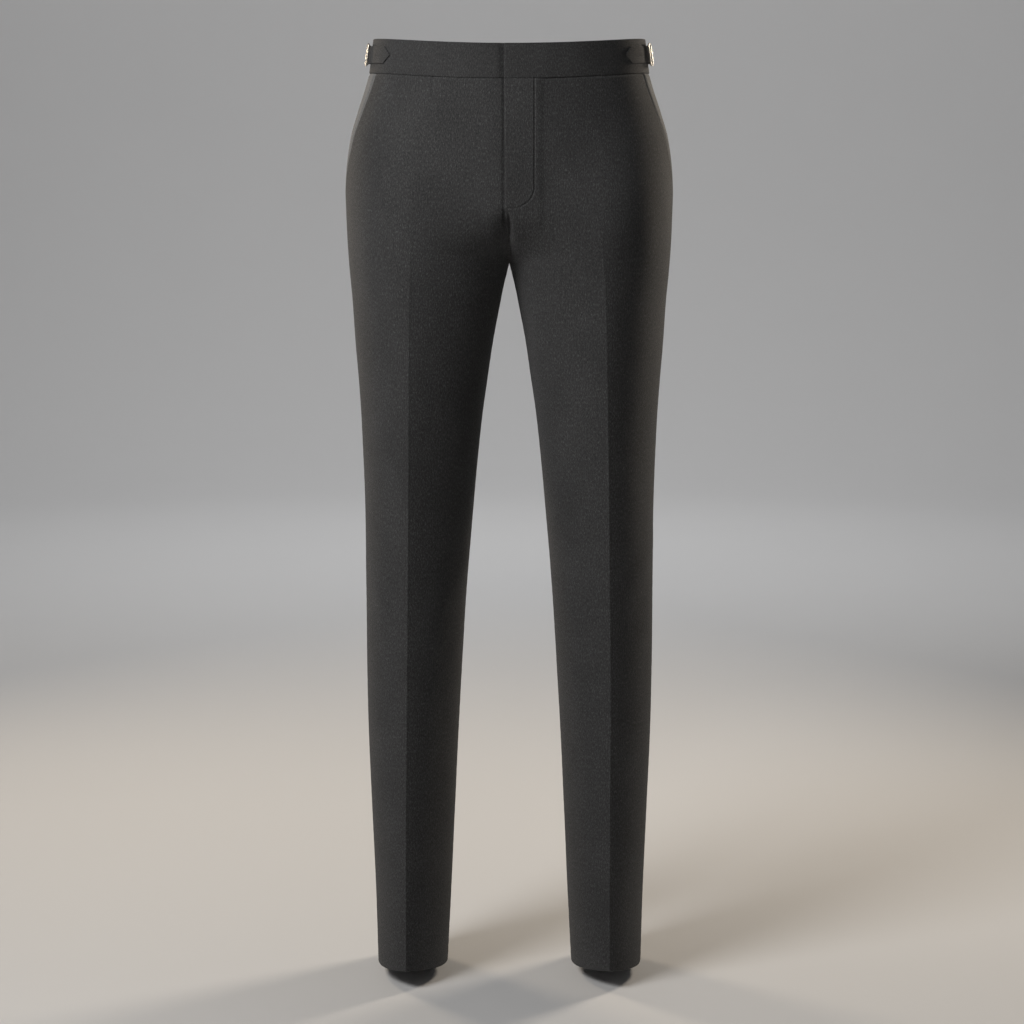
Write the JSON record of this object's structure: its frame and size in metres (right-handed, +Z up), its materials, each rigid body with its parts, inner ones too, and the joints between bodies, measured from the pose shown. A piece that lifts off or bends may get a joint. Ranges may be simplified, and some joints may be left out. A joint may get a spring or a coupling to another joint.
{
  "type": "flat-front dress trousers",
  "caption": "Flat-front dress trousers in charcoal wool with slanted side pockets, a plain waistband with side adjusters and pressed creases, standing hollow as if worn.",
  "frame": {"origin": "middle of the waist, at the waistband's mid-height at the side seams", "axes": "+Z up the trousers to the waist, +X to the wearer's left, -Y to the front"},
  "size_m": [0.3696, 0.2657, 1.0753],
  "materials": {
    "wool": "charcoal melange worsted wool flannel with a soft dry nap",
    "band_cloth": "the same charcoal wool over a firm band interlining",
    "trim_cloth": "the same charcoal wool, doubled and pressed flat",
    "metal": "antique nickel wire with bright worn edges"
  },
  "bodies": {
    "root": {"front_left": "wool", "front_right": "wool", "back_left": "wool", "back_right": "wool", "waistband_left": "band_cloth", "waistband_right": "band_cloth", "fly_facing": "trim_cloth", "fly_shield": "trim_cloth", "pocket_facing_left": "trim_cloth", "pocket_facing_right": "trim_cloth", "adjuster_strap_left": "trim_cloth", "adjuster_strap_right": "trim_cloth", "adjuster_keeper_left": "trim_cloth", "adjuster_keeper_right": "trim_cloth", "adjuster_buckle_left": "metal", "adjuster_buckle_right": "metal"}
  },
  "joints": []
}
